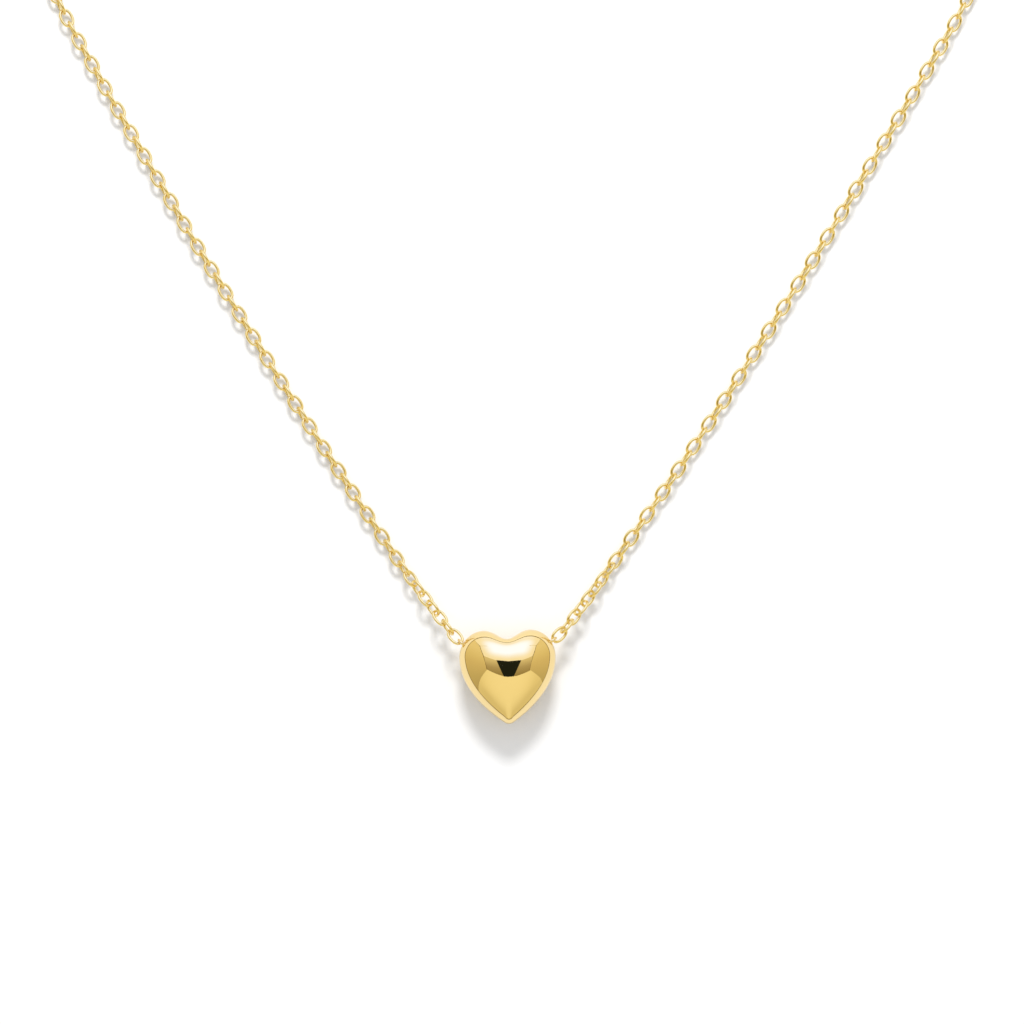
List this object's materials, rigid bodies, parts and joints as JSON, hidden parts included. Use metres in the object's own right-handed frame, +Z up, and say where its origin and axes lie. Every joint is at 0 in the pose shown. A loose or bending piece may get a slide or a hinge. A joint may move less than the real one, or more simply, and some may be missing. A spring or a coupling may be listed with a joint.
{
  "type": "heart pendant necklace",
  "caption": "Fine chain necklace with a small hollow puffed heart held between the two halves of an oval cable chain, and a spring ring clasp.",
  "frame": {"origin": "on the table, on the small flat at the back of the heart, under the middle of its outline", "axes": "+X to the right of the heart as it is seen, +Y from the heart towards the clasp, +Z up, out of the heart's front"},
  "size_m": [0.1016, 0.1424, 0.0052],
  "materials": {
    "heart_gold": "mirror-polished yellow gold",
    "chain_gold": "bright drawn gold wire",
    "clasp_gold": "polished gold",
    "spring_steel": "fine drawn steel wire"
  },
  "bodies": {
    "heart": {"heart_front_shell": "heart_gold", "heart_back_shell": "heart_gold", "left_shoulder_loop": "heart_gold", "right_shoulder_loop": "heart_gold"},
    "left_first_link": {"left_link_001": "chain_gold"},
    "left_chain_a": {"left_link_002": "chain_gold", "left_chain_a": "chain_gold", "left_link_028": "chain_gold"},
    "left_chain_b": {"left_link_029": "chain_gold", "left_chain_b": "chain_gold", "left_link_058": "chain_gold"},
    "left_chain_c": {"left_link_059": "chain_gold", "left_chain_c": "chain_gold", "left_link_094": "chain_gold"},
    "left_chain_d": {"left_link_095": "chain_gold", "left_chain_d": "chain_gold", "left_link_132": "chain_gold"},
    "jump_ring": {"jump_ring": "clasp_gold"},
    "clasp": {"clasp_ring_tube": "clasp_gold", "clasp_eye": "clasp_gold", "clasp_spring": "spring_steel"},
    "clasp_bolt": {"clasp_bolt": "clasp_gold"},
    "right_first_link": {"right_link_001": "chain_gold"},
    "right_chain_a": {"right_link_002": "chain_gold", "right_chain_a": "chain_gold", "right_link_028": "chain_gold"},
    "right_chain_b": {"right_link_029": "chain_gold", "right_chain_b": "chain_gold", "right_link_056": "chain_gold"},
    "right_chain_c": {"right_link_057": "chain_gold", "right_chain_c": "chain_gold", "right_link_092": "chain_gold"},
    "right_chain_d": {"right_link_093": "chain_gold", "right_chain_d": "chain_gold", "right_link_132": "chain_gold"},
    "end_ring": {"end_ring": "clasp_gold"}
  },
  "joints": [
    {"name": "left_swing", "type": "hinge", "parent": "heart", "child": "left_first_link", "pos_m": [-0.00488, 0.00363, 0.00245], "axis": [0, 0, 1], "range_deg": [0, 45]},
    {"name": "left_lift", "type": "hinge", "parent": "left_first_link", "child": "left_chain_a", "pos_m": [-0.00573, 0.00456, 0.00215], "axis": [0.7741, 0.633, 0], "range_deg": [-60, 60]},
    {"name": "left_bend_1", "type": "hinge", "parent": "left_chain_a", "child": "left_chain_b", "pos_m": [-0.02517, 0.03345, 0.0007], "axis": [0, 0, 1], "range_deg": [0, 45]},
    {"name": "left_bend_2", "type": "hinge", "parent": "left_chain_b", "child": "left_chain_c", "pos_m": [-0.04502, 0.06764, 0.0007], "axis": [0, 0, 1], "range_deg": [0, 45]},
    {"name": "left_bend_3", "type": "hinge", "parent": "left_chain_c", "child": "left_chain_d", "pos_m": [-0.04926, 0.11436, 0.0007], "axis": [0, 0, 1], "range_deg": [-30, 45]},
    {"name": "jump_ring_swivel", "type": "hinge", "parent": "left_chain_d", "child": "jump_ring", "pos_m": [-0.01078, 0.1342, 0.0007], "axis": [0, 0, 1], "range_deg": [-50, 60]},
    {"name": "clasp_flip", "type": "hinge", "parent": "jump_ring", "child": "clasp", "pos_m": [-0.00925, 0.1342, 0.00066], "axis": [0, -1, 0], "range_deg": [-60, 60]},
    {"name": "clasp_trigger", "type": "hinge", "parent": "clasp", "child": "clasp_bolt", "pos_m": [-0.00579, 0.1342, 0.00063], "axis": [0, 0, 1], "range_deg": [0, 62], "stiffness_Nm_per_rad": 0.0008, "springref_deg": -20.05, "deforming": ["clasp_spring"]},
    {"name": "right_swing", "type": "hinge", "parent": "heart", "child": "right_first_link", "pos_m": [0.00473, 0.00385, 0.00246], "axis": [0, 0, -1], "range_deg": [0, 25]},
    {"name": "right_lift", "type": "hinge", "parent": "right_first_link", "child": "right_chain_a", "pos_m": [0.0056, 0.00471, 0.00216], "axis": [0.7633, -0.6461, 0], "range_deg": [-60, 60]},
    {"name": "right_bend_1", "type": "hinge", "parent": "right_chain_a", "child": "right_chain_b", "pos_m": [0.02574, 0.03407, 0.0007], "axis": [0, 0, -1], "range_deg": [0, 45]},
    {"name": "right_bend_2", "type": "hinge", "parent": "right_chain_b", "child": "right_chain_c", "pos_m": [0.04561, 0.0672, 0.0007], "axis": [0, 0, -1], "range_deg": [0, 45]},
    {"name": "right_bend_3", "type": "hinge", "parent": "right_chain_c", "child": "right_chain_d", "pos_m": [0.04985, 0.1161, 0.0007], "axis": [0, 0, -1], "range_deg": [-10, 45]},
    {"name": "end_ring_swivel", "type": "hinge", "parent": "right_chain_d", "child": "end_ring", "pos_m": [0.00475, 0.1342, 0.0007], "axis": [0, 0, -1], "range_deg": [-60, 50]}
  ]
}
